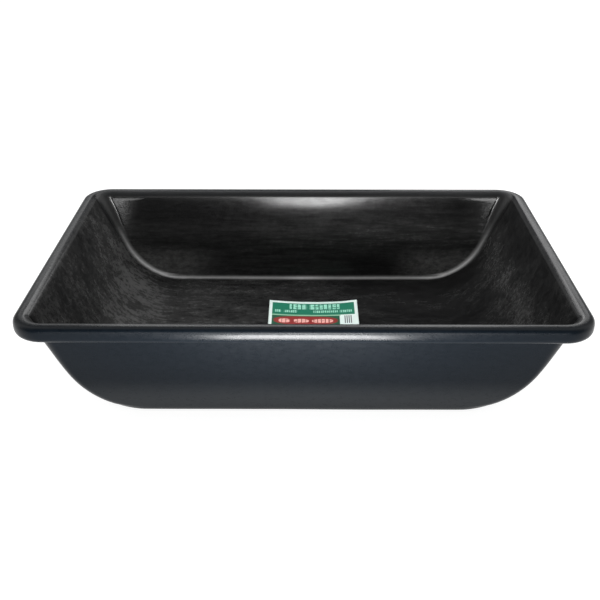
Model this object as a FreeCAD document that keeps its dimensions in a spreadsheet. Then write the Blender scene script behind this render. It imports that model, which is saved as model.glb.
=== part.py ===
"""Mortar mixing tub: a one-piece polyethylene trough with swept-up ends and a rolled rim, and the
printed label stuck to its floor.

The frame has +Z up, +X along the tub and +Y across it. Its origin is on the ground, under the
middle of the floor. Lengths are millimetres and angles are degrees.
"""

import FreeCAD, Part
import math
import os

import Sketcher

# The driving dimensions: alias, value, and what it measures.
SIZES = (
    ("rim_length", 914.4, "overall length, over the rolled rim"),
    ("rim_width", 609.6, "overall width, over the rolled rim"),
    ("tub_height", 189.0, "ground to the top of the rim"),
    ("rim_corner", 54.0, "plan radius of the rim's outer edge at each corner"),
    ("wall", 4.0, "thickness of the moulding"),
    ("bead_radius", 14.0, "outer radius of the rolled rim's section"),
    ("bead_start", 168.0, "angle round the bead where it leaves the wall"),
    ("bead_end", -78.0, "angle round the bead where its lip ends"),
    ("bead_weld", 4.0, "height of the walls' top edge above the bead's centre"),
    ("end_lean", 26.0, "lean of the two end walls from the vertical"),
    ("side_lean", 10.0, "lean of the two long walls from the vertical"),
    ("end_sweep", 138.0, "outer radius that sweeps the floor up into each end wall"),
    ("blend_floor", 14.0, "outer blend radius between the floor and a long wall"),
    ("blend_bend", 18.0, "outer blend radius at a corner, where the end sweep stops"),
    ("blend_rim", 32.0, "outer blend radius at a corner, under the rim"),
    ("label_length", 178.0, "label along X"),
    ("label_width", 152.0, "label along Y"),
    ("label_film", 0.3, "thickness of the label"),
    ("label_corner", 3.0, "corner radius of the label"),
    ("label_x", 19.5, "centre of the label along X"),
    ("label_y", 59.0, "centre of the label along Y"),
)
SIZE = {alias: value for alias, value, _ in SIZES}

# The points of a sketch element, and the sketch's own origin and axes, as constraints name them.
START, END, CENTRE = 1, 2, 3
ORIGIN = (-1, 1)
H_AXIS, V_AXIS = -1, -2

# How far each skin of the moulding lies inside the outer one.
INSETS = {"outer": ("0", 0.0), "inner": ("Sizes.wall", SIZE["wall"])}

TOUCH_MM = 0.001

doc = FreeCAD.newDocument("mortar_mixing_tub")


def make_sheet():
    """The spreadsheet that the sketches and features are bound to."""
    sheet = doc.addObject("Spreadsheet::Sheet", "Sizes")
    for row, (alias, value, meaning) in enumerate(SIZES, start=1):
        sheet.set(f"A{row}", alias)
        sheet.set(f"B{row}", str(value))
        sheet.set(f"C{row}", meaning)
        sheet.setAlias(f"B{row}", alias)
    doc.recompute()


# ---------------------------------------------------------------- sketches

def sketch_on(body, role, name, offset=None):
    """An empty sketch on one of a body's own origin planes, offset by an expression if given."""
    sketch = body.newObject("Sketcher::SketchObject", name)
    plane = next(f for f in body.Origin.OriginFeatures if f.Role == role)
    sketch.AttachmentSupport = [(plane, "")]
    sketch.MapMode = "FlatFace"
    if offset:
        sketch.setExpression("AttachmentOffset.Base.z", offset)
    return sketch


def join(sketch, kind, *where):
    """A geometric constraint."""
    sketch.addConstraint(Sketcher.Constraint(kind, *where))


def measure(sketch, expression, value, kind, *where):
    """A dimension, made at its value and then bound to its expression."""
    index = sketch.addConstraint(Sketcher.Constraint(kind, *where, value))
    sketch.setExpression(f"Constraints[{index}]", expression)


def line(sketch, start, end):
    """A line between two (x, y) points."""
    return sketch.addGeometry(Part.LineSegment(FreeCAD.Vector(*start), FreeCAD.Vector(*end)))


def arc(sketch, centre, radius, first, last):
    """An anticlockwise arc between two angles."""
    circle = Part.Circle(FreeCAD.Vector(*centre), FreeCAD.Vector(0, 0, 1), radius)
    return sketch.addGeometry(Part.ArcOfCircle(circle, math.radians(first), math.radians(last)))


def bead_circle(sketch, span, skin):
    """The rolled rim's circle on the sketch's + side, as a guide that a wall is tangent to."""
    inset, inset_value = INSETS[skin]
    across = SIZE[span] / 2 - SIZE["bead_radius"]
    up = SIZE["tub_height"] - SIZE["bead_radius"]
    radius = SIZE["bead_radius"] - SIZE["wall"] + inset_value
    circle = Part.Circle(FreeCAD.Vector(across, up), FreeCAD.Vector(0, 0, 1), radius)
    guide = sketch.addGeometry(circle, True)
    measure(sketch, f"Sizes.{span} / 2 - Sizes.bead_radius", across,
            "DistanceX", *ORIGIN, guide, CENTRE)
    measure(sketch, "Sizes.tub_height - Sizes.bead_radius", up,
            "DistanceY", *ORIGIN, guide, CENTRE)
    measure(sketch, f"Sizes.bead_radius - Sizes.wall + {inset}", radius, "Radius", guide)
    return guide


def wall_at(span, lean, skin, height):
    """How far a skin of a leaning wall is from the tub's middle plane, at a height."""
    tilt = math.radians(SIZE[lean])
    radius = SIZE["bead_radius"] - SIZE["wall"] + INSETS[skin][1]
    foot_x = SIZE[span] / 2 - SIZE["bead_radius"] - radius * math.cos(tilt)
    foot_z = SIZE["tub_height"] - SIZE["bead_radius"] + radius * math.sin(tilt)
    return foot_x + (height - foot_z) * math.tan(tilt)


def trough_profile(sketch, span, lean, skin, sweep=None):
    """A closed trough section, with its two walls leaning out from the floor to the bead.

    With a sweep radius, an arc takes the floor up into each wall.
    """
    inset, floor = INSETS[skin]
    top = SIZE["tub_height"] - SIZE["bead_radius"] + SIZE["bead_weld"]
    tilt = math.radians(SIZE[lean])
    radius = SIZE[sweep] - floor if sweep else 0.0
    bend = floor + radius * (1 - math.sin(tilt))
    wall_foot = wall_at(span, lean, skin, bend)
    floor_end = wall_foot - radius * math.cos(tilt)
    wall_head = wall_at(span, lean, skin, top)

    base = line(sketch, (-floor_end, floor), (floor_end, floor))
    right = line(sketch, (wall_foot, bend), (wall_head, top))
    brim = line(sketch, (wall_head, top), (-wall_head, top))
    left = line(sketch, (-wall_head, top), (-wall_foot, bend))
    guide = bead_circle(sketch, span, skin)

    join(sketch, "Coincident", right, END, brim, START)
    join(sketch, "Coincident", brim, END, left, START)
    join(sketch, "Tangent", right, guide)
    join(sketch, "Symmetric", brim, START, brim, END, V_AXIS)
    join(sketch, "Symmetric", right, START, left, END, V_AXIS)
    measure(sketch, f"90 - Sizes.{lean}", math.pi / 2 - tilt, "Angle", right)
    measure(sketch, "Sizes.tub_height - Sizes.bead_radius + Sizes.bead_weld", top,
            "DistanceY", *ORIGIN, brim, START)
    if floor:
        measure(sketch, inset, floor, "DistanceY", *ORIGIN, base, END)
    else:
        join(sketch, "PointOnObject", base, END, H_AXIS)

    if not sweep:
        join(sketch, "Coincident", base, END, right, START)
        join(sketch, "Coincident", left, END, base, START)
        return
    rise = floor + radius
    right_bend = arc(sketch, (floor_end, rise), radius, -90, -SIZE[lean])
    left_bend = arc(sketch, (-floor_end, rise), radius, 180 + SIZE[lean], 270)
    join(sketch, "Horizontal", base)
    join(sketch, "Tangent", base, END, right_bend, START)
    join(sketch, "Tangent", right_bend, END, right, START)
    join(sketch, "Tangent", left, END, left_bend, START)
    join(sketch, "Tangent", left_bend, END, base, START)
    measure(sketch, f"Sizes.{sweep} - {inset}", radius, "Radius", right_bend)


def rounded_rectangle(sketch, right, top, length, width, corner):
    """Four lines and four arcs, placed by the right and top sides.

    Every argument after the sketch is an (expression, value) pair.
    """
    radius = corner[1]
    x_ends = (right[1] - length[1], right[1])
    y_ends = (top[1] - width[1], top[1])
    x_in = (x_ends[0] + radius, x_ends[1] - radius)
    y_in = (y_ends[0] + radius, y_ends[1] - radius)
    arcs = [arc(sketch, (x_in[i], y_in[j]), radius, turn, turn + 90)
            for i, j, turn in ((1, 1, 0), (0, 1, 90), (0, 0, 180), (1, 0, 270))]
    upper = line(sketch, (x_in[1], y_ends[1]), (x_in[0], y_ends[1]))
    left = line(sketch, (x_ends[0], y_in[1]), (x_ends[0], y_in[0]))
    lower = line(sketch, (x_in[0], y_ends[0]), (x_in[1], y_ends[0]))
    right_side = line(sketch, (x_ends[1], y_in[0]), (x_ends[1], y_in[1]))
    sides = (upper, left, lower, right_side)
    for index, side in enumerate(sides):
        join(sketch, "Tangent", arcs[index], END, side, START)
        join(sketch, "Tangent", side, END, arcs[(index + 1) % 4], START)
        join(sketch, "Vertical" if index % 2 else "Horizontal", side)
    for first, second in zip(arcs, arcs[1:]):
        join(sketch, "Equal", first, second)
    measure(sketch, *corner, "Radius", arcs[0])
    measure(sketch, *length, "DistanceX", left, START, right_side, START)
    measure(sketch, *width, "DistanceY", lower, START, upper, START)
    measure(sketch, *right, "DistanceX", *ORIGIN, right_side, START)
    measure(sketch, *top, "DistanceY", *ORIGIN, upper, START)


# ---------------------------------------------------------------- solids

def padded(body, sketch, length):
    """A pad that runs equally far to both sides of its sketch."""
    pad = body.newObject("PartDesign::Pad", "Pad")
    pad.Profile = sketch
    pad.Midplane = True
    pad.setExpression("Length", length)


def trough_body(name, role, length, *profile):
    """A trough section carried straight through the tub, one way or the other."""
    body = doc.addObject("PartDesign::Body", name)
    sketch = sketch_on(body, role, f"{name}_section")
    trough_profile(sketch, *profile)
    padded(body, sketch, length)
    return body


def blend_radii(shape, skin):
    """The radii at the two ends of every edge to blend: (edge number, radius, radius).

    Each of the two chains climbs one corner, crosses the floor beside a long wall and climbs the
    other corner, so the radii of an edge are listed in the order of X.
    """
    _, floor = INSETS[skin]
    bend = floor + (SIZE["end_sweep"] - floor) * (1 - math.sin(math.radians(SIZE["end_lean"])))
    steps = ((floor, "blend_floor"), (bend, "blend_bend"), (SIZE["tub_height"], "blend_rim"))

    def radius_at(point):
        return next(SIZE[blend] for height, blend in steps if point.z < height + TOUCH_MM) - floor

    radii = []
    for number, edge in enumerate(shape.Edges, start=1):
        low, high = sorted((v.Point for v in edge.Vertexes), key=lambda point: point.x)
        level = abs(low.z - high.z) < TOUCH_MM
        beside_floor = level and abs(low.z - floor) < TOUCH_MM and abs(low.y - high.y) < TOUCH_MM
        if beside_floor or (not level and abs(low.x - high.x) > TOUCH_MM):
            radii.append((number, radius_at(low), radius_at(high)))
    return radii


def trough(skin):
    """The solid inside one skin: the two sections' common part, with its edges blended."""
    along = trough_body(f"{skin}_along", "XZ_Plane", "Sizes.rim_width",
                        "rim_length", "end_lean", skin, "end_sweep")
    across = trough_body(f"{skin}_across", "YZ_Plane", "Sizes.rim_length",
                         "rim_width", "side_lean", skin)
    block = doc.addObject("Part::Common", f"{skin}_block")
    block.Base, block.Tool = along, across
    doc.recompute()
    solid = doc.addObject("Part::Fillet", f"{skin}_skin")
    solid.Base = block
    solid.Edges = blend_radii(block.Shape, skin)
    return solid


def bead_section(sketch):
    """The rolled rim's C section: it leaves the wall's top, goes over and ends in a lip below."""
    across = SIZE["rim_length"] / 2 - SIZE["bead_radius"]
    up = SIZE["tub_height"] - SIZE["bead_radius"]
    outer, inner = SIZE["bead_radius"], SIZE["bead_radius"] - SIZE["wall"]
    first, last = SIZE["bead_end"], SIZE["bead_start"]

    def at(radius, angle):
        turn = math.radians(angle)
        return across + radius * math.cos(turn), up + radius * math.sin(turn)

    skin = arc(sketch, (across, up), outer, first, last)
    lining = arc(sketch, (across, up), inner, first, last)
    lip = line(sketch, at(inner, first), at(outer, first))
    root = line(sketch, at(inner, last), at(outer, last))
    join(sketch, "Coincident", skin, CENTRE, lining, CENTRE)
    for edge, point in ((lip, START), (root, END)):
        join(sketch, "Coincident", lining, point, edge, START)
        join(sketch, "Coincident", skin, point, edge, END)
        join(sketch, "PointOnObject", skin, CENTRE, edge)
    measure(sketch, "Sizes.bead_radius", outer, "Radius", skin)
    measure(sketch, "Sizes.bead_radius - Sizes.wall", inner, "Radius", lining)
    measure(sketch, "Sizes.bead_end", math.radians(first), "Angle", lip)
    measure(sketch, "Sizes.bead_start", math.radians(last), "Angle", root)
    measure(sketch, "Sizes.rim_length / 2 - Sizes.bead_radius", across,
            "DistanceX", *ORIGIN, skin, CENTRE)
    measure(sketch, "Sizes.tub_height - Sizes.bead_radius", up,
            "DistanceY", *ORIGIN, skin, CENTRE)


def bead_path(sketch):
    """The bead's centre line, seen in plan."""
    bead = SIZE["bead_radius"]
    rounded_rectangle(
        sketch,
        ("Sizes.rim_length / 2 - Sizes.bead_radius", SIZE["rim_length"] / 2 - bead),
        ("Sizes.rim_width / 2 - Sizes.bead_radius", SIZE["rim_width"] / 2 - bead),
        ("Sizes.rim_length - 2 * Sizes.bead_radius", SIZE["rim_length"] - 2 * bead),
        ("Sizes.rim_width - 2 * Sizes.bead_radius", SIZE["rim_width"] - 2 * bead),
        ("Sizes.rim_corner - Sizes.bead_radius", SIZE["rim_corner"] - bead))


def rolled_rim():
    """The C section carried round the bead's centre line."""
    body = doc.addObject("PartDesign::Body", "rolled_rim")
    path = sketch_on(body, "XY_Plane", "bead_path", "Sizes.tub_height - Sizes.bead_radius")
    bead_path(path)
    section = sketch_on(body, "XZ_Plane", "bead_section")
    bead_section(section)
    doc.recompute()
    pipe = body.newObject("PartDesign::AdditivePipe", "Pipe")
    pipe.Profile = section
    pipe.Spine = (path, [f"Edge{n}" for n in range(1, 9)])
    return body


def tub_shell():
    """The moulding: the outer trough less the inner one, with the rolled rim on its top edge."""
    walls = doc.addObject("Part::Cut", "walls")
    walls.Base, walls.Tool = trough("outer"), trough("inner")
    shell = doc.addObject("Part::Fuse", "tub_shell")
    shell.Base, shell.Tool = walls, rolled_rim()
    shell.Refine = True
    shell.Placement = FreeCAD.Placement()
    return shell


def product_label():
    """The label, flat on the inside of the floor."""
    body = doc.addObject("PartDesign::Body", "product_label")
    outline = sketch_on(body, "XY_Plane", "label_outline", "Sizes.wall")
    rounded_rectangle(
        outline,
        ("Sizes.label_x + Sizes.label_length / 2", SIZE["label_x"] + SIZE["label_length"] / 2),
        ("Sizes.label_y + Sizes.label_width / 2", SIZE["label_y"] + SIZE["label_width"] / 2),
        ("Sizes.label_length", SIZE["label_length"]),
        ("Sizes.label_width", SIZE["label_width"]),
        ("Sizes.label_corner", SIZE["label_corner"]))
    film = body.newObject("PartDesign::Pad", "Pad")
    film.Profile = outline
    film.setExpression("Length", "Sizes.label_film")
    body.Placement = FreeCAD.Placement()
    return body


# ---------------------------------------------------------------- checks and files

def require(true, complaint):
    """Stops the run with a message if a check doesn't hold."""
    if not true:
        raise RuntimeError(complaint)


def check_document(parts):
    """Every object is in order, and every sub-part is one valid solid."""
    for item in doc.Objects:
        bad = {"Invalid", "Error"} & set(item.State)
        require(not bad, f"{item.Label}: {', '.join(bad)}")
    for part in parts:
        shape = part.Shape
        require(not shape.isNull() and shape.isValid(), f"{part.Label}: no valid shape")
        require(len(shape.Solids) == 1, f"{part.Label}: {len(shape.Solids)} solids")


def check_sizes(shell):
    """The moulding has its overall size and the volume of its two parts, less their overlap."""
    box = shell.Shape.optimalBoundingBox(False)
    for name, found in (("rim_length", box.XLength), ("rim_width", box.YLength),
                        ("tub_height", box.ZMax)):
        require(abs(found - SIZE[name]) < 0.1, f"{name} came out at {found:.2f}")
    hollow = doc.getObject("outer_skin").Shape.Volume - doc.getObject("inner_skin").Shape.Volume
    walls, rim = doc.getObject("walls").Shape, doc.getObject("rolled_rim").Shape
    require(abs(walls.Volume - hollow) < 0.001 * hollow, "the inner trough was not cut out")
    together = walls.Volume + rim.Volume
    require(0.98 * together < shell.Shape.Volume < together, "the rim is not welded to the walls")


def main():
    make_sheet()
    parts = [tub_shell(), product_label()]
    doc.recompute()
    check_document(parts)
    check_sizes(parts[0])
    os.makedirs("parts", exist_ok=True)
    for part in parts:
        part.Shape.exportStep(os.path.join("parts", f"{part.Label}.step"))
        print(f"{part.Label}: {part.Shape.Volume / 1000:.1f} cm3, {len(part.Shape.Faces)} faces")


main()
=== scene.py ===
"""Mortar mixing tub: the looks. Metres, +Z up, +X along the tub, the camera on the -Y side."""
import math

import bmesh
import bpy
import numpy as np
from mathutils import Matrix, Vector, noise


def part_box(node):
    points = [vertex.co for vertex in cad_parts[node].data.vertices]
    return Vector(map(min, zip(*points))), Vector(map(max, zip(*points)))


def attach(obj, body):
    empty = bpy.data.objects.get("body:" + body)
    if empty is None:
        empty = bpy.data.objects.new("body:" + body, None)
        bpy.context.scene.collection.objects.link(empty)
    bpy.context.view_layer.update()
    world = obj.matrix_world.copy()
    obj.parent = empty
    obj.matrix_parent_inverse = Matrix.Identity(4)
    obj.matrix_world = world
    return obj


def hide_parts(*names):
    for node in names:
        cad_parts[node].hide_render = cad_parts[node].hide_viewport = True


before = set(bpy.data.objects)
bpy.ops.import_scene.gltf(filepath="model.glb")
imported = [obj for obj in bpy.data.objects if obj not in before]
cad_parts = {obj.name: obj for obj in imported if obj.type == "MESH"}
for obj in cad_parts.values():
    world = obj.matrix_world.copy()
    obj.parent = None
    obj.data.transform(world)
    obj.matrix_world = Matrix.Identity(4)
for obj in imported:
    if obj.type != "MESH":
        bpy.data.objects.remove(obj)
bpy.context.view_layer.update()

# ---------------------------------------------------------------- sizes, in metres and radians

SHELL_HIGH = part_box("tub_shell")[1]
LABEL_LOW, LABEL_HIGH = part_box("product_label")

INSIDE_BOX = 0.0002          # how far the visible rim stays inside the CAD box
HALF_LENGTH = SHELL_HIGH[0] - INSIDE_BOX
HALF_WIDTH = SHELL_HIGH[1] - INSIDE_BOX
HEIGHT = SHELL_HIGH[2] - INSIDE_BOX

WALL = 0.004                 # the plastic's thickness
BEAD = 0.014                 # the roll's outer radius
RIM_CORNER = 0.054           # the rim's corner radius, seen from above
LIP_ANGLE = math.radians(-78.0)        # where round the bead the roll ends, from level outward
SQUARER = 2.8                # the superellipse power of the roll's outer side: 2 is a circle
END_LEAN = math.radians(26.0)          # how far an end wall leans out from upright
SIDE_LEAN = math.radians(10.0)         # how far a long wall does
SWEEP = 0.138                # the radius that turns the floor into an end wall
BLENDS = (0.014, 0.018, 0.032)         # outer corner blend at the floor, at the bend and at the rim
LEAST_CORNER = 0.0008        # the least depth of a corner, so that no quad folds
FLOOR_EDGE = (0.004, 0.003, 0.004)     # how far in the flat floor's ring is, along and across; its corner
WALL_TOP = 0.022             # how far below the bead's middle the straight wall's last ring is

# The line that the bead's middle follows: a level rounded rectangle.
BEAD_X = HALF_LENGTH - BEAD
BEAD_Y = HALF_WIDTH - BEAD
BEAD_Z = HEIGHT - BEAD
PATH_CORNER = RIM_CORNER - BEAD

# The walls are uneven, in long waves and in short ones: how far they swell.
SWELL, RIPPLE = 0.0011, 0.00035

# The back wall has drawn in at its middle and eased out beside its corners: how far it has moved,
# the depth under the rim over which it does so, and where along the wall.
BACK_BOW, BACK_FLARE = 0.0015, 0.012
BACK_BOW_AT, BACK_BOW_HALF = 0.03, 0.13
CORNER_BOW, CORNER_FLARE = 0.0018, 0.032
CORNER_BOW_FROM, CORNER_BOW_RISE = 0.27, 0.09
BACK_BOW_RISE = 0.2          # how far behind the tub's middle the bow is full

# How many quads the shell has along an end, along a side and round a corner.
N_END, N_SIDE, N_CORNER = 48, 88, 20

# The turn of each ring up the sweep, in degrees, and how many rings a straight wall has.
SWEEP_STEPS = (1.5, 3, 4.5, 6, 8, 10, 12, 14, 16, 18, 20, 23, 26, 30, 34, 38, 42, 46, 50, 54, 58, 62.5)
WALL_STEPS = 9

# How many steps go round the outside of the roll, round its lip and back inside it.
ROLL_STEPS, LIP_STEPS, RETURN_STEPS = 26, 6, 18
INSIDE_FADE = 9              # over how many rings of the roll the look of the inside fades out
CREASE_POWER = 1.8           # how sharply the crease mask peaks, and the painted highlight along it


def smooth(t):
    """Eases from 0 to 1."""
    t = min(max(t, 0.0), 1.0)
    return t * t * (3.0 - 2.0 * t)


# ---------------------------------------------------------------- the shell's rings

class Skin:
    """One skin of the moulding: inset 0 is the outer one, inset WALL the inner one."""

    def __init__(self, inset):
        self.floor = inset
        self.bead = BEAD - WALL + inset
        self.sweep = SWEEP - inset
        self.blends = [r - inset for r in BLENDS]
        self.bend_z = self.floor + self.sweep * (1.0 - math.sin(END_LEAN))
        self.flat_x = self.end_line(self.bend_z) - self.sweep * math.cos(END_LEAN)
        half_turn = (math.pi / 2 - SIDE_LEAN) / 2
        self.flat_y = self.side_line(self.floor) - self.blends[0] * math.tan(half_turn)

    def line(self, bead, lean, z):
        """Where a leaning wall is at a height, given where its bead's middle is."""
        foot = bead - self.bead * math.cos(lean)
        return foot + (z - BEAD_Z - self.bead * math.sin(lean)) * math.tan(lean)

    def end_line(self, z):
        """Where the straight part of an end wall is at a height."""
        return self.line(BEAD_X, END_LEAN, z)

    def side_line(self, z):
        """Where a long wall is at a height."""
        return self.line(BEAD_Y, SIDE_LEAN, z)

    def blend_at(self, z):
        """The corner's blend radius at a height."""
        low, mid, high = self.blends
        if z < self.bend_z:
            return low + (mid - low) * smooth((z - self.floor) / (self.bend_z - self.floor))
        return mid + (high - mid) * smooth((z - self.bend_z) / (BEAD_Z - self.bend_z))

    def level(self, z):
        """Half extents and corner semi-axes (x, y, rx, ry) of the skin's level section.

        The corner's quarter ellipse leaves the long wall at x_side and the end at y_end.
        """
        rise = z - self.floor
        blend = self.blend_at(z)
        sink = min(rise, blend * (1.0 - math.sin(SIDE_LEAN)))
        if z < self.bend_z - 1e-6:
            turn = math.acos(1.0 - rise / self.sweep)
            x = self.flat_x + self.sweep * math.sin(turn)
            across = (self.sweep - sink) ** 2 - (self.sweep - rise) ** 2
            x_side = self.flat_x + math.sqrt(max(across, 0.0))
        else:
            turn = math.pi / 2 - END_LEAN
            x = self.end_line(z)
            x_side = x - sink / math.cos(END_LEAN)
        foot = self.blends[0]
        if rise < foot * (1.0 - math.sin(SIDE_LEAN)):
            y = self.flat_y + math.sqrt(foot ** 2 - (foot - rise) ** 2)
        else:
            y = self.side_line(z)
        y_end = self.side_line(z + blend * math.cos(turn)) - blend / math.cos(SIDE_LEAN)
        return x, y, x - x_side, max(y - y_end, LEAST_CORNER)

    def rings(self):
        """Rings from the flat floor up to where the skin meets the bead."""
        along, across, corner = FLOOR_EDGE
        found = [ring(self.flat_x - along, self.flat_y - across, corner, corner, self.floor)]
        for step in SWEEP_STEPS:
            z = self.floor + self.sweep * (1.0 - math.cos(math.radians(step)))
            found.append(ring(*self.level(z), z))
        top = BEAD_Z - WALL_TOP
        for i in range(1, WALL_STEPS + 1):
            z = self.bend_z + (top - self.bend_z) * i / WALL_STEPS
            found.append(ring(*self.level(z), z))
        last, tangent = found[-1], bead_ring(self.bead, start_angles())
        found += [last + (tangent - last) * t for t in (1 / 3, 2 / 3)]
        return found


def corner_turns():
    """Each corner's signs and the angle that its arc starts at, anticlockwise from +X +Y."""
    return ((1, 1, 0.0), (-1, 1, math.pi / 2), (-1, -1, math.pi), (1, -1, 1.5 * math.pi))


def ring(x, y, rx, ry, z):
    """A level rounded rectangle, anticlockwise from the +X side's low end."""
    points = []
    for sx, sy, start in corner_turns():
        if sx == sy:
            points += [(sx * x, sy * (y - ry) * (2 * i / N_END - 1)) for i in range(N_END)]
        else:
            points += [(sx * (x - rx) * (2 * i / N_SIDE - 1), sy * y) for i in range(N_SIDE)]
        for i in range(N_CORNER):
            a = start + math.pi / 2 * i / N_CORNER
            points.append((sx * (x - rx) + rx * math.cos(a), sy * (y - ry) + ry * math.sin(a)))
    return np.array([(px, py, z) for px, py in points])


def outward():
    """The level direction out of the tub at every point of a ring."""
    found = []
    for sx, sy, start in corner_turns():
        found += [(sx, 0.0)] * N_END if sx == sy else [(0.0, sy)] * N_SIDE
        angles = [start + math.pi / 2 * i / N_CORNER for i in range(N_CORNER)]
        found += [(math.cos(a), math.sin(a)) for a in angles]
    return np.array(found)


def start_angles():
    """The angle round the bead where each point's wall meets it."""
    level = np.abs(outward()[:, 0])
    ease = level * level * (3.0 - 2.0 * level)
    return math.pi - (SIDE_LEAN + (END_LEAN - SIDE_LEAN) * ease)


def bead_ring(radius, angles):
    """A ring on the bead: angles is one angle or one for each point, from level outward.

    The roll is round on the tub's side and a little squarer on the outside.
    """
    path = ring(BEAD_X, BEAD_Y, PATH_CORNER, PATH_CORNER, BEAD_Z)
    out = outward()
    level, up = np.cos(angles) * np.ones(len(out)), np.sin(angles) * np.ones(len(out))
    ease = np.clip((level + 0.05) / 0.5, 0.0, 1.0)
    power = 2.0 + (SQUARER - 2.0) * ease * ease * (3.0 - 2.0 * ease)
    reach = radius * (np.abs(level) ** power + np.abs(up) ** power) ** (-1.0 / power)
    found = path.copy()
    found[:, :2] += out * (reach * level)[:, None]
    found[:, 2] += reach * up
    return found


def bead_rings():
    """Round the bead's outside from the inner skin, round its lip, and back inside the roll."""
    start = start_angles()
    found = []
    for i in range(ROLL_STEPS + 1):
        found.append(bead_ring(BEAD, start + (LIP_ANGLE - start) * (i / ROLL_STEPS)))
    middle, half = BEAD - WALL / 2, WALL / 2
    for i in range(1, LIP_STEPS):
        turn = math.pi * i / LIP_STEPS
        back = half * math.sin(turn) / middle
        found.append(bead_ring(middle + half * math.cos(turn), LIP_ANGLE - back))
    for i in range(RETURN_STEPS + 1):
        found.append(bead_ring(BEAD - WALL, LIP_ANGLE + (start - LIP_ANGLE) * (i / RETURN_STEPS)))
    return found


# ---------------------------------------------------------------- the shell's mesh

def patch_faces(outline, first_new):
    """Quads that fill a ring: returns the grid of vertex numbers and the new points' (row, column).

    The grid's corners are the middles of the ring's four arcs.
    """
    n_x, n_y, half = N_SIDE + N_CORNER, N_END + N_CORNER, N_CORNER // 2
    count = len(outline)
    order = [(i - half) % count for i in range(count)]
    right = [order[i] for i in range(n_y + 1)]
    top = [order[n_y + i] for i in range(n_x + 1)]
    left = [order[n_y + n_x + i] for i in range(n_y + 1)]
    bottom = [order[(2 * n_y + n_x + i) % count] for i in range(n_x + 1)]
    top.reverse()
    left.reverse()
    grid = [[None] * (n_x + 1) for _ in range(n_y + 1)]
    for i in range(n_x + 1):
        grid[0][i], grid[n_y][i] = outline[bottom[i]], outline[top[i]]
    for j in range(n_y + 1):
        grid[j][0], grid[j][n_x] = outline[left[j]], outline[right[j]]
    places, number = [], first_new
    for j in range(1, n_y):
        for i in range(1, n_x):
            grid[j][i] = number
            places.append((j, i))
            number += 1
    return grid, places


def coons(points, grid, places):
    """Where a patch's new points go: a blend of its four edges."""
    n_y, n_x = len(grid) - 1, len(grid[0]) - 1
    found = []
    for j, i in places:
        u, v = i / n_x, j / n_y
        edges = ((1 - v) * points[grid[0][i]] + v * points[grid[n_y][i]]
                 + (1 - u) * points[grid[j][0]] + u * points[grid[j][n_x]])
        corners = ((1 - u) * (1 - v) * points[grid[0][0]] + u * (1 - v) * points[grid[0][n_x]]
                   + (1 - u) * v * points[grid[n_y][0]] + u * v * points[grid[n_y][n_x]])
        found.append(edges - corners)
    return found


def add_mask(mesh, name, values):
    """Keeps a number for each point, which a material can read."""
    layer = mesh.attributes.new(name, "FLOAT", "POINT")
    layer.data.foreach_set("value", np.array(values, dtype=np.float32))


def mesh_object(name, points, faces):
    """A smooth-shaded mesh object with its normals outward."""
    mesh = bpy.data.meshes.new(name)
    mesh.from_pydata([tuple(p) for p in points], [], faces)
    mesh.validate()
    work = bmesh.new()
    work.from_mesh(mesh)
    bmesh.ops.recalc_face_normals(work, faces=work.faces)
    work.to_mesh(mesh)
    work.free()
    mesh.polygons.foreach_set("use_smooth", [True] * len(mesh.polygons))
    piece = bpy.data.objects.new(name, mesh)
    bpy.context.scene.collection.objects.link(piece)
    return piece


def waves(p, level, upright, start):
    """Smooth noise, with so many waves to the metre along the level axes and the upright one."""
    return noise.noise(Vector((p[0] * level, p[1] * level, p[2] * upright + start)))


def back_bow(x, y, depth):
    """How far a point of the back wall has moved in, at a depth under the rim."""
    middle = math.exp(-((x - BACK_BOW_AT) / BACK_BOW_HALF) ** 2)
    bow = BACK_BOW * middle * (1.0 - math.exp(-depth / BACK_FLARE)) * smooth(y / BACK_BOW_RISE)
    ends = smooth((abs(x) - CORNER_BOW_FROM) / CORNER_BOW_RISE)
    return bow - CORNER_BOW * ends * (1.0 - math.exp(-depth / CORNER_FLARE)) * smooth(y / BACK_BOW_RISE)


def warp(p, out):
    """How the moulding differs from its drawing: (dx, dy, dz) at a point.

    out is the level direction out of the tub there.
    """
    x, y, z = p
    depth = max(0.0, BEAD_Z - z)
    swell = SWELL * waves(p, 5.0, 4.0, 3.0) + RIPPLE * waves(p, 14.0, 10.0, 9.0)
    swell *= (depth / BEAD_Z) ** 0.5
    bow = back_bow(x, y, depth) if y > 0.0 else 0.0
    return out[0] * swell, out[1] * swell - bow, 0.0


def crease_values(mesh, inside):
    """1 along the middle of the turns between the long walls and the rest of the inside."""
    turn = np.array([math.asin(min(1.0, abs(v.normal.y))) for v in mesh.vertices])
    middle = (math.pi / 2 - SIDE_LEAN) / 2
    near = np.clip(1.0 - np.abs(turn / middle - 1.0), 0.0, 1.0)
    return near ** CREASE_POWER * np.array(inside)


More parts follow.
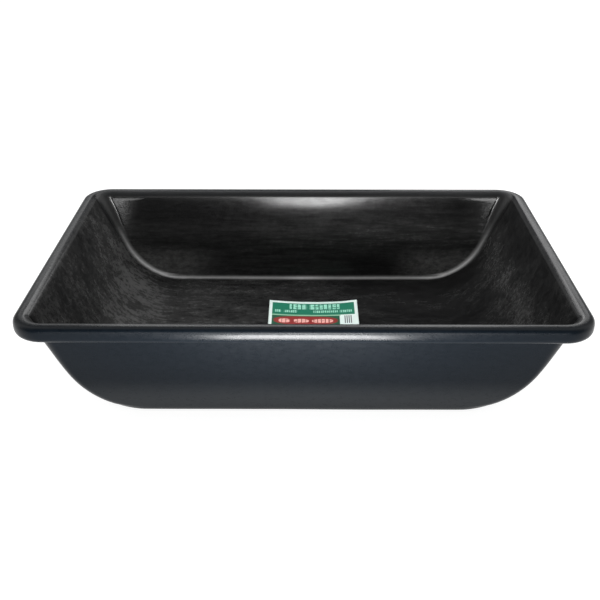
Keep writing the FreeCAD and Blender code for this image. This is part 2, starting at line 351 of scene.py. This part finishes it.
def tub_shell():
    """The whole moulding as one closed skin: inside, roll, outside, and a patch for each floor."""
    inner, outer = Skin(WALL), Skin(0.0)
    inner_rings, roll, outer_rings = inner.rings(), bead_rings(), outer.rings()[::-1]
    rings = inner_rings + roll + outer_rings
    per = len(rings[0])
    points = [p for r in rings for p in r]
    still = [(0.0, 0.0)] * per
    directions = still + [d for _ in rings[1:-1] for d in outward()] + still
    inside = [1.0] * (per * len(inner_rings)) + [0.0] * (per * (len(roll) + len(outer_rings)))
    for k in range(INSIDE_FADE):
        start = per * (len(inner_rings) + k)
        inside[start:start + per] = [1.0 - k / INSIDE_FADE] * per
    faces = []
    for r in range(len(rings) - 1):
        for i in range(per):
            j = (i + 1) % per
            faces.append((r * per + i, r * per + j, (r + 1) * per + j, (r + 1) * per + i))
    for first, mask in ((0, 1.0), ((len(rings) - 1) * per, 0.0)):
        grid, places = patch_faces(list(range(first, first + per)), len(points))
        new = coons(points, grid, places)
        points += new
        directions += [(0.0, 0.0)] * len(new)
        inside += [mask] * len(new)
        for j in range(len(grid) - 1):
            for i in range(len(grid[0]) - 1):
                faces.append((grid[j][i], grid[j][i + 1], grid[j + 1][i + 1], grid[j + 1][i]))
    points = [p + np.array(warp(p, d)) for p, d in zip(points, directions)]
    piece = mesh_object("tub_moulding", points, faces)
    add_mask(piece.data, "inside", inside)
    add_mask(piece.data, "crease", crease_values(piece.data, inside))
    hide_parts("tub_shell")
    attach(piece, "root")
    return piece


# ---------------------------------------------------------------- the label's mesh

CURL_BACK, CURL_FRONT = 0.0046, 0.0015     # how far the label's sides have lifted at its back and front
CORNER_CURL = 0.0012         # how much more its back right corner has lifted
PUCKER = 0.00018             # how high its film puckers
LABEL_FILM = 0.00025         # how thick it is
LABEL_GAP = 0.0001           # how far it stays above the floor
LABEL_COLUMNS, LABEL_ROWS = 72, 60


def label_height(x, y):
    """Height of the label above the floor: its sides have let go, most of all at the back."""
    middle = (LABEL_LOW[0] + LABEL_HIGH[0]) / 2
    half = (LABEL_HIGH[0] - LABEL_LOW[0]) / 2
    along = (y - LABEL_LOW[1]) / (LABEL_HIGH[1] - LABEL_LOW[1])
    side = (x - middle) / half
    lift = (CURL_FRONT + (CURL_BACK - CURL_FRONT) * smooth(along)) * abs(side) ** 2.0
    corner = CORNER_CURL * smooth((side - 0.6) / 0.4) * smooth((along - 0.7) / 0.3)
    pucker = PUCKER * noise.noise(Vector((x * 38.0, y * 24.0, 4.0)))
    return lift + corner + abs(pucker)


def product_label():
    """The label: a thin closed film, with a top, an underside and an edge."""
    n_x, n_y = LABEL_COLUMNS, LABEL_ROWS
    points = []
    for lift in (LABEL_FILM, 0.0):
        for j in range(n_y + 1):
            for i in range(n_x + 1):
                x = LABEL_LOW[0] + (LABEL_HIGH[0] - LABEL_LOW[0]) * i / n_x
                y = LABEL_LOW[1] + (LABEL_HIGH[1] - LABEL_LOW[1]) * j / n_y
                z = LABEL_LOW[2] + LABEL_GAP + label_height(x, y) + lift
                points.append(np.array((x, y, z)))
    sheet = (n_x + 1) * (n_y + 1)

    def at(i, j, under):
        """The vertex at a column and a row, on the top (0) or the underside (1)."""
        return under * sheet + j * (n_x + 1) + i

    faces = []
    for j in range(n_y):
        for i in range(n_x):
            top = (at(i, j, 0), at(i + 1, j, 0), at(i + 1, j + 1, 0), at(i, j + 1, 0))
            faces += [top, tuple(v + sheet for v in reversed(top))]
    edge = [(i, 0) for i in range(n_x)] + [(n_x, j) for j in range(n_y)]
    edge += [(i, n_y) for i in range(n_x, 0, -1)] + [(0, j) for j in range(n_y, 0, -1)]
    for (a, b), (c, d) in zip(edge, edge[1:] + edge[:1]):
        faces.append((at(a, b, 1), at(c, d, 1), at(c, d, 0), at(a, b, 0)))
    piece = mesh_object("printed_label", points, faces)
    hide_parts("product_label")
    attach(piece, "root")
    return piece


# ---------------------------------------------------------------- materials

class Graph:
    """A material's nodes, as functions that take and give sockets or numbers."""

    def __init__(self, name):
        self.material = bpy.data.materials.new(name)
        self.material.use_nodes = True
        self.tree = self.material.node_tree
        self.tree.nodes.clear()
        self.shader = self.node("ShaderNodeBsdfPrincipled")
        out = self.node("ShaderNodeOutputMaterial")
        self.tree.links.new(self.shader.outputs["BSDF"], out.inputs["Surface"])
        self.place = self.node("ShaderNodeTexCoord").outputs["Object"]

    def node(self, kind, **settings):
        """A new node with its settings."""
        found = self.tree.nodes.new(kind)
        for key, value in settings.items():
            setattr(found, key, value)
        return found

    def feed(self, socket, value):
        """Gives a socket another node's output, or a fixed value."""
        if isinstance(value, bpy.types.NodeSocket):
            self.tree.links.new(value, socket)
        else:
            socket.default_value = value

    def math(self, operation, *values, clamp=False):
        """What an operation makes of one or two values."""
        node = self.node("ShaderNodeMath", operation=operation, use_clamp=clamp)
        for socket, value in zip(node.inputs, values):
            self.feed(socket, value)
        return node.outputs[0]

    def product(self, *values, clamp=False):
        """All the values multiplied together."""
        found = values[0]
        for value in values[1:-1]:
            found = self.math("MULTIPLY", found, value)
        return self.math("MULTIPLY", found, values[-1], clamp=clamp)

    def axes(self):
        """The place's x, y and z."""
        node = self.node("ShaderNodeSeparateXYZ")
        self.feed(node.inputs[0], self.place)
        return node.outputs[0], node.outputs[1], node.outputs[2]

    def scaled(self, x, y, z):
        """The place, with each axis stretched: these are a noise's features to the metre."""
        node = self.node("ShaderNodeVectorMath", operation="MULTIPLY")
        self.feed(node.inputs[0], self.place)
        node.inputs[1].default_value = (x, y, z)
        return node.outputs[0]

    def noise(self, vector, detail=4.0, roughness=0.55, distortion=0.0):
        """Smooth noise from 0 to 1."""
        node = self.node("ShaderNodeTexNoise")
        self.feed(node.inputs["Vector"], vector)
        for key, value in (("Scale", 1.0), ("Detail", detail), ("Roughness", roughness),
                           ("Distortion", distortion)):
            node.inputs[key].default_value = value
        return node.outputs["Fac"]

    def remap(self, value, low, high, to_low=0.0, to_high=1.0):
        """Eases a value from one range to another; low may be above high."""
        node = self.node("ShaderNodeMapRange", interpolation_type="SMOOTHSTEP")
        for socket, number in zip(node.inputs, (value, low, high, to_low, to_high)):
            self.feed(socket, number)
        return node.outputs[0]

    def mix(self, factor, first, second):
        """A colour between two."""
        node = self.node("ShaderNodeMix", data_type="RGBA")
        self.feed(node.inputs[0], factor)
        for index, value in ((6, first), (7, second)):
            fixed = not isinstance(value, bpy.types.NodeSocket)
            self.feed(node.inputs[index], (*value, 1.0) if fixed else value)
        return node.outputs[2]

    def mix_number(self, factor, first, second):
        """A number between two."""
        node = self.node("ShaderNodeMix", data_type="FLOAT")
        for index, value in ((0, factor), (2, first), (3, second)):
            self.feed(node.inputs[index], value)
        return node.outputs[0]

    def attribute(self, name):
        """A mask that the mesh keeps for each point."""
        return self.node("ShaderNodeAttribute", attribute_name=name).outputs["Fac"]

    def bump(self, height, distance, strength=1.0, normal=None):
        """A normal that tilts as a height does, on top of another normal if one is given."""
        node = self.node("ShaderNodeBump")
        node.inputs["Strength"].default_value = strength
        node.inputs["Distance"].default_value = distance
        self.feed(node.inputs["Height"], height)
        if normal:
            self.feed(node.inputs["Normal"], normal)
        return node.outputs[0]

    def set(self, name, value):
        """Gives one of the shader's inputs a value."""
        self.feed(self.shader.inputs[name], value)


CHALK = (0.082, 0.082, 0.081)        # the haze that mortar and scrubbing leave inside
END_REFLECTION_PAINT = (0.20, 0.20, 0.195)         # painted reflection of the end walls, low on the long walls
CREASE_HIGHLIGHT_PAINT = (0.85, 0.85, 0.85)            # painted highlight along a crease
FLOOR_BOUNCE_PAINT = (0.018, 0.020, 0.022)         # painted bounce light from the floor on the outside's foot
CHALK_ROUGH = 0.25                   # how much rougher full haze makes the plastic


def long_walls(g):
    """1 on the two long walls, 0 between them."""
    return g.remap(g.math("ABSOLUTE", g.axes()[1]), 0.238, 0.252)


def far_inside(g, inside):
    """1 on the inside's far half, and less on its near half."""
    return g.product(inside, g.remap(g.axes()[1], -0.15, 0.15, 0.30, 1.0))


def haze_share(g):
    """How much haze each part of the inside has: most on the -X end, least high on the long walls, and less
    at the top of each end, which is painted shade under the rim.
    """
    x, y, z = g.axes()
    height = g.mix_number(g.remap(x, -0.25, 0.25), g.remap(z, 0.030, 0.110, 0.95, 0.70),
                          g.remap(z, 0.035, 0.115, 0.34, 1.75))
    depth = g.mix_number(long_walls(g), g.remap(y, 0.08, 0.20, 1.0, 1.35),
                         g.remap(z, 0.150, 0.070, 0.20, 0.90))
    # Less haze at the top of each end, under the rim: painted shade.
    rim_shade_paint = g.product(g.remap(x, 0.37, 0.42, 1.0, 0.2), g.remap(x, -0.43, -0.37, 0.45, 1.0))
    return g.product(g.remap(x, -0.24, -0.38, 0.82, 1.55), height, depth, rim_shade_paint)


def haze_inside(g, grain, inside):
    """How chalky the inside is: mottled on the floor and the ends, brushed along the long walls."""
    wide = g.noise(g.scaled(3.5, 6.0, 6.0), detail=3.0, roughness=0.5, distortion=0.4)
    streaks = g.noise(g.scaled(13.0, 120.0, 120.0), detail=5.0, roughness=0.65, distortion=0.15)
    cloud = g.noise(g.scaled(14.0, 34.0, 34.0), detail=4.0, roughness=0.6, distortion=0.4)
    mottled = g.product(g.remap(wide, 0.32, 0.66, 0.55, 1.05), g.remap(grain, 0.30, 0.70, 0.36, 1.0),
                        g.remap(streaks, 0.26, 0.74, 0.45, 1.0), g.remap(cloud, 0.32, 0.64, 0.50, 1.14))
    brushed = g.product(g.remap(streaks, 0.30, 0.70, 0.32, 0.85), g.remap(grain, 0.25, 0.75, 0.6, 1.0))
    return g.product(g.mix_number(long_walls(g), mottled, brushed), haze_share(g), inside, clamp=True)


def outer_colour(g, grain):
    """Near black with a blue cast, paler in the middle as painted front light, and paler towards the foot
    as painted bounce light from the floor, down to its dark bottom edge, a painted reflection of the shaded
    floor under the tub.
    """
    x, _, z = g.axes()
    # Paler in the middle of the length than towards the ends: painted front light.
    plain = g.mix(g.remap(g.math("ABSOLUTE", x), 0.34, 0.05), (0.0000, 0.0014, 0.0032),
                  (0.0008, 0.0021, 0.0038))
    plain = g.mix(g.remap(grain, 0.3, 0.7, 0.0, 0.2), plain, (0.0030, 0.0050, 0.0080))
    # Paler towards the foot: painted bounce light from the floor; darker again at the very bottom edge:
    # painted shade.
    foot = g.product(g.remap(z, 0.075, 0.012), g.remap(grain, 0.2, 0.8, 0.8, 1.0),
                     g.remap(z, 0.002, 0.009, 0.2, 1.0))
    return g.mix(foot, plain, FLOOR_BOUNCE_PAINT)


def inner_colour(g):
    """Neutral black with a fine speckle."""
    speckle = g.noise(g.scaled(420.0, 420.0, 420.0), detail=2.0)
    return g.mix(g.remap(speckle, 0.3, 0.7), (0.0036, 0.0037, 0.0040), (0.0078, 0.0078, 0.0080))


def painted_end_reflections(g, grain, inside):
    """Painted reflections of the end walls: the paler patches low on the long walls, towards the tub's
    ends.
    """
    x, _, z = g.axes()
    patch = g.product(g.remap(g.math("ABSOLUTE", x), 0.17, 0.27), g.remap(z, 0.080, 0.040), long_walls(g))
    return g.product(patch, g.remap(grain, 0.30, 0.70, 0.25, 0.75), far_inside(g, inside))


def painted_crease_highlights(g, grain, inside, crease):
    """Painted highlights along the creases, where the glossy turns would catch light: strongest low down,
    at mid-length and where they turn up.
    """
    x, _, z = g.axes()
    across = g.math("ABSOLUTE", x)
    peaks = g.math("ADD", g.remap(across, 0.06, 0.0, 0.0, 0.4), g.remap(across, 0.22, 0.30, 0.0, 0.4))
    return g.product(crease, g.remap(z, 0.020, 0.130, 1.0, 0.035), far_inside(g, inside),
                     g.math("ADD", peaks, 0.6), g.remap(grain, 0.25, 0.75, 0.8, 1.0))


def plastic_roughness(g, grain, inside, crease, haze):
    """Satin outside and glossier inside, dulled by haze and in the creases, sleek by the far corners."""
    x, y, z = g.axes()
    rough = g.mix_number(inside, g.remap(grain, 0.3, 0.7, 0.26, 0.32), g.remap(grain, 0.3, 0.7, 0.12, 0.17))
    rough = g.math("ADD", rough, g.product(haze, CHALK_ROUGH))
    sleek = g.product(g.remap(g.math("ABSOLUTE", x), 0.27, 0.35), g.remap(y, 0.18, 0.24), inside,
                      g.remap(z, 0.08, 0.13))
    rough = g.product(rough, g.remap(sleek, 0.0, 1.0, 1.0, 0.42))
    dull = g.product(g.remap(crease, 0.0, 0.10), g.remap(z, 0.090, 0.150, 0.45, 0.26))
    return g.math("ADD", rough, dull)


def plastic_relief(g, inside):
    """A moulding's faint orange peel, and fine scratches along the inside."""
    scratch = g.noise(g.scaled(30.0, 900.0, 900.0), detail=2.0, roughness=0.5, distortion=0.4)
    peel = g.noise(g.scaled(160.0, 160.0, 160.0), detail=3.0, roughness=0.5)
    normal = g.bump(peel, 0.00012, 0.35)
    return g.bump(g.product(g.remap(scratch, 0.55, 0.75), inside), 0.00003, 0.3, normal)


def polyethylene():
    """Black moulded polyethylene: a blue cast outside, and scuffed and chalky inside, with painted light:
    front light and floor bounce outside, reflections low on the long walls and highlights along the creases
    inside.
    """
    g = Graph("black_polyethylene")
    inside, crease = g.attribute("inside"), g.attribute("crease")
    grain = g.noise(g.scaled(74.0, 125.0, 125.0), detail=5.0, roughness=0.74)
    haze = haze_inside(g, grain, inside)
    skin = g.mix(inside, outer_colour(g, grain), inner_colour(g))
    skin = g.mix(haze, skin, CHALK)
    # Painted reflections of the end walls, pale patches low on the long walls.
    skin = g.mix(painted_end_reflections(g, grain, inside), skin, END_REFLECTION_PAINT)
    # Painted highlights along the creases.
    skin = g.mix(painted_crease_highlights(g, grain, inside, crease), skin, CREASE_HIGHLIGHT_PAINT)
    g.set("Base Color", skin)
    g.set("Roughness", plastic_roughness(g, grain, inside, crease, haze))
    g.set("Normal", plastic_relief(g, inside))
    g.shader.inputs["IOR"].default_value = 1.5
    g.shader.inputs["Specular IOR Level"].default_value = 0.18
    return g.material


PAPER, PAPER_SHADE = (0.86, 0.98, 0.94), (0.76, 0.88, 0.84)
GREEN, DEEP_GREEN, PALE_GREEN = (0.004, 0.185, 0.105), (0.004, 0.090, 0.045), (0.30, 0.58, 0.38)
RED, MINT, PINK, INK = (0.30, 0.022, 0.020), (0.36, 0.76, 0.60), (0.95, 0.50, 0.44), (0.09, 0.08, 0.11)
MARGIN = 0.0065              # the label's white border
PRINT_SOFT = 0.0003          # how soft a printed edge is
BAR_POWER = 2.6              # how square a rounded bar's ends are: 2 is an ellipse


def label_print():
    """The label's print: plain bands, bars and strokes where lettering would be."""
    g = Graph("label_print")
    x, y, _ = g.axes()
    left, right = LABEL_LOW[0], LABEL_HIGH[0]
    top = LABEL_HIGH[1]

    def side(axis, at, low=0.0, high=1.0):
        """The soft edge of a box, from low to high as the axis passes a place."""
        return g.remap(axis, at - PRINT_SOFT, at + PRINT_SOFT, low, high)

    def box(x0, x1, y0, y1):
        """1 inside a box, in metres from the label's left edge and down from its top edge."""
        return g.product(side(x, left + x0), side(x, left + x1, 1.0, 0.0),
                         side(y, top - y0, 1.0, 0.0), side(y, top - y1))

    def bar(x0, x1, y0, y1):
        """1 inside a bar with rounded ends, given as a box is."""
        terms = []
        for value, low, high in ((x, left + x0, left + x1), (y, top - y1, top - y0)):
            part = g.math("DIVIDE", g.math("SUBTRACT", value, (low + high) / 2), (high - low) / 2)
            terms.append(g.math("POWER", g.math("ABSOLUTE", part), BAR_POWER))
        return g.remap(g.math("ADD", *terms), 0.85, 1.12, 1.0, 0.0)

    def over(colour, mask, ink):
        """Prints an ink over a colour where a mask is 1."""
        return g.mix(mask, colour, ink)

    def marks(area, pitch, inked, uneven):
        """An area's upright strokes of uneven width and height, as lettering looks from a distance."""
        wobble = g.noise(g.scaled(0.9 / pitch, 0.0, 0.0), detail=1.0)
        across = g.math("ADD", g.math("DIVIDE", x, pitch), g.product(wobble, uneven))
        strokes = g.remap(g.math("FRACT", across), inked - 0.08, inked + 0.08, 1.0, 0.0)
        gaps = g.remap(g.noise(g.scaled(0.8 / pitch, 1.5 / pitch, 0.0), detail=1.0), 0.56, 0.64, 1.0, 0.25)
        return g.product(area, strokes, gaps)

    width, depth = right - left, top - LABEL_LOW[1]
    colour = g.mix(g.noise(g.scaled(300.0, 300.0, 300.0)), PAPER, PAPER_SHADE)
    colour = over(colour, box(MARGIN, width - MARGIN, 0.008, 0.056), GREEN)
    for x0, x1 in ((0.041, 0.076), (0.081, 0.142)):
        colour = over(colour, marks(box(x0, x1, 0.0115, 0.0325), 0.0088, 0.74, 0.7), MINT)
    for x0, x1 in ((0.012, 0.024), (0.030, 0.056), (0.089, 0.138), (0.142, 0.166)):
        colour = over(colour, marks(box(x0, x1, 0.037, 0.0465), 0.0040, 0.70, 0.9), MINT)
    colour = over(colour, box(MARGIN, 0.143, 0.0555, 0.0600), PALE_GREEN)
    colour = over(colour, box(MARGIN, 0.141, 0.060, depth - 0.008), DEEP_GREEN)
    colour = over(colour, bar(0.010, 0.137, 0.062, 0.096), RED)
    for x0, x1 in ((0.020, 0.043), (0.049, 0.080), (0.086, 0.128)):
        colour = over(colour, marks(bar(x0, x1, 0.072, 0.088), 0.0078, 0.80, 0.8), PINK)
    for row in range(4):
        line = box(0.016, 0.120 - 0.013 * (row % 2), 0.103 + 0.010 * row, 0.107 + 0.010 * row)
        colour = over(colour, marks(line, 0.0042, 0.66, 0.9), MINT)
    bars = g.remap(g.math("PINGPONG", x, 0.0020), 0.0007, 0.0013)
    code = g.product(box(0.150, 0.166, 0.060, 0.090), bars)
    colour = over(colour, code, INK)
    g.set("Base Color", colour)

    grain = g.noise(g.scaled(1500.0, 1500.0, 1500.0), detail=2.0)
    g.set("Roughness", g.remap(g.noise(g.scaled(60.0, 60.0, 60.0)), 0.3, 0.7, 0.36, 0.48))
    g.shader.inputs["Specular IOR Level"].default_value = 0.20
    g.set("Normal", g.bump(grain, 0.00003, 0.4))
    return g.material


# ---------------------------------------------------------------- stage, light and camera

# How bright the room is on the camera's side, overhead and behind the tub. The camera itself
# sees a plain white backdrop instead.
SKY_FRONT, SKY_TOP, SKY_BACK = 0.35, 1.5, 0.35

FLOOR_GLOW = 0.86            # how much the floor shines by itself, as a light table does
FLOOR_HALF = 40.0            # half its width, so that no view sees its edge

# Each area light's name, where it is, what it is aimed at, its size and its watts.
LIGHTS = (
    ("softbox", (0.06, -2.2, 0.42), (0.0, 0.0, 0.15), (0.42, 0.34), 25.0),
    ("front_strip", (0.0, -2.2, 0.50), (0.0, 0.0, 0.17), (2.4, 0.10), 6.0),
    ("low_card", (0.002, -0.81, 0.012), (0.002, -0.81, 1.0), (0.32, 0.58), 40.0),
    ("back_strip", (0.0, 0.62, 0.78), (0.0, -0.29, 0.19), (1.1, 0.30), 5.0),
    ("left_strip", (-0.82, 1.3, 0.80), (-0.45, 0.0, 0.19), (0.70, 0.40), 1.3),
    ("right_strip", (0.74, 1.3, 0.80), (0.45, 0.0, 0.19), (0.90, 0.40), 3.5),
)

CAMERA_AT = (0.0027, -1.4834, 0.8589)
CAMERA_TURN, CAMERA_TILT, CAMERA_ROLL = 0.365, 62.293, -0.036      # in degrees
CAMERA_LENS, CAMERA_SENSOR = 53.589, 36.0                          # in millimetres


def floor_material():
    """Matt pale grey that glows."""
    g = Graph("studio_floor")
    g.set("Base Color", g.mix(g.noise(g.scaled(2.0, 2.0, 2.0)), (0.35, 0.35, 0.35), (0.37, 0.37, 0.37)))
    g.set("Roughness", g.remap(g.noise(g.scaled(5.0, 5.0, 5.0)), 0.0, 1.0, 0.88, 0.95))
    g.shader.inputs["Specular IOR Level"].default_value = 0.1
    g.shader.inputs["Emission Color"].default_value = (1.0, 1.0, 1.0, 1.0)
    g.shader.inputs["Emission Strength"].default_value = FLOOR_GLOW
    return g.material


def studio():
    """The floor that the tub stands on."""
    corners = [(sx * FLOOR_HALF, sy * FLOOR_HALF, 0) for sx, sy in ((-1, -1), (1, -1), (1, 1), (-1, 1))]
    mesh = bpy.data.meshes.new("studio_floor")
    mesh.from_pydata(corners, [], [(0, 1, 2, 3)])
    floor = bpy.data.objects.new("studio_floor", mesh)
    bpy.context.scene.collection.objects.link(floor)
    mesh.materials.append(floor_material())


def sky():
    """A room that is bright overhead and dimmer in front and behind, and the camera's backdrop."""
    world = bpy.data.worlds.new("studio")
    world.use_nodes = True
    tree = world.node_tree
    direction = tree.nodes.new("ShaderNodeTexCoord").outputs["Generated"]
    split = tree.nodes.new("ShaderNodeSeparateXYZ")
    tree.links.new(direction, split.inputs[0])

    def ramp(source, low, high, to_low, to_high):
        """Eases a value from one range to another."""
        node = tree.nodes.new("ShaderNodeMapRange")
        node.interpolation_type = "SMOOTHSTEP"
        tree.links.new(source, node.inputs[0])
        for socket, number in zip(node.inputs[1:5], (low, high, to_low, to_high)):
            socket.default_value = number
        return node.outputs[0]

    def combine(operation, first, second):
        """One sum of two values, each a socket or a number."""
        node = tree.nodes.new("ShaderNodeMath")
        node.operation = operation
        for socket, value in zip(node.inputs, (first, second)):
            if isinstance(value, float):
                socket.default_value = value
            else:
                tree.links.new(value, socket)
        return node.outputs[0]

    front = ramp(split.outputs[1], -0.5, 0.32, SKY_FRONT, SKY_TOP)
    light = combine("MULTIPLY", front, ramp(split.outputs[1], 0.12, 0.75, 1.0, SKY_BACK / SKY_TOP))
    seen = tree.nodes.new("ShaderNodeLightPath").outputs["Is Camera Ray"]
    unseen = combine("MULTIPLY", light, combine("SUBTRACT", 1.0, seen))
    background = tree.nodes["Background"]
    tree.links.new(combine("ADD", seen, unseen), background.inputs["Strength"])
    background.inputs["Color"].default_value = (1.0, 1.0, 1.0, 1.0)
    bpy.context.scene.world = world


def area_light(name, at, aim, size, watts):
    """A rectangular light that the camera doesn't see."""
    data = bpy.data.lights.new(name, "AREA")
    data.shape = "RECTANGLE"
    data.size, data.size_y = size
    data.energy = watts
    light = bpy.data.objects.new(name, data)
    light.location = at
    light.rotation_euler = (Vector(aim) - Vector(at)).to_track_quat("-Z", "Y").to_euler()
    light.visible_camera = False
    bpy.context.scene.collection.objects.link(light)


def camera():
    """The camera, in front of the tub and above it."""
    data = bpy.data.cameras.new("camera")
    data.sensor_width = CAMERA_SENSOR
    data.lens = CAMERA_LENS
    data.clip_end = 100.0
    found = bpy.data.objects.new("camera", data)
    found.location = CAMERA_AT
    turn, tilt, roll = (math.radians(a) for a in (CAMERA_TURN, CAMERA_TILT, CAMERA_ROLL))
    pose = Matrix.Rotation(turn, 3, "Z") @ Matrix.Rotation(tilt, 3, "X") @ Matrix.Rotation(roll, 3, "Z")
    found.rotation_euler = pose.to_euler()
    bpy.context.scene.collection.objects.link(found)
    bpy.context.scene.camera = found


def main():
    """Builds the two pieces, the studio and the camera."""
    tub_shell().data.materials.append(polyethylene())
    product_label().data.materials.append(label_print())
    studio()
    sky()
    for light in LIGHTS:
        area_light(*light)
    camera()
    bpy.context.scene.view_settings.view_transform = "Standard"


main()
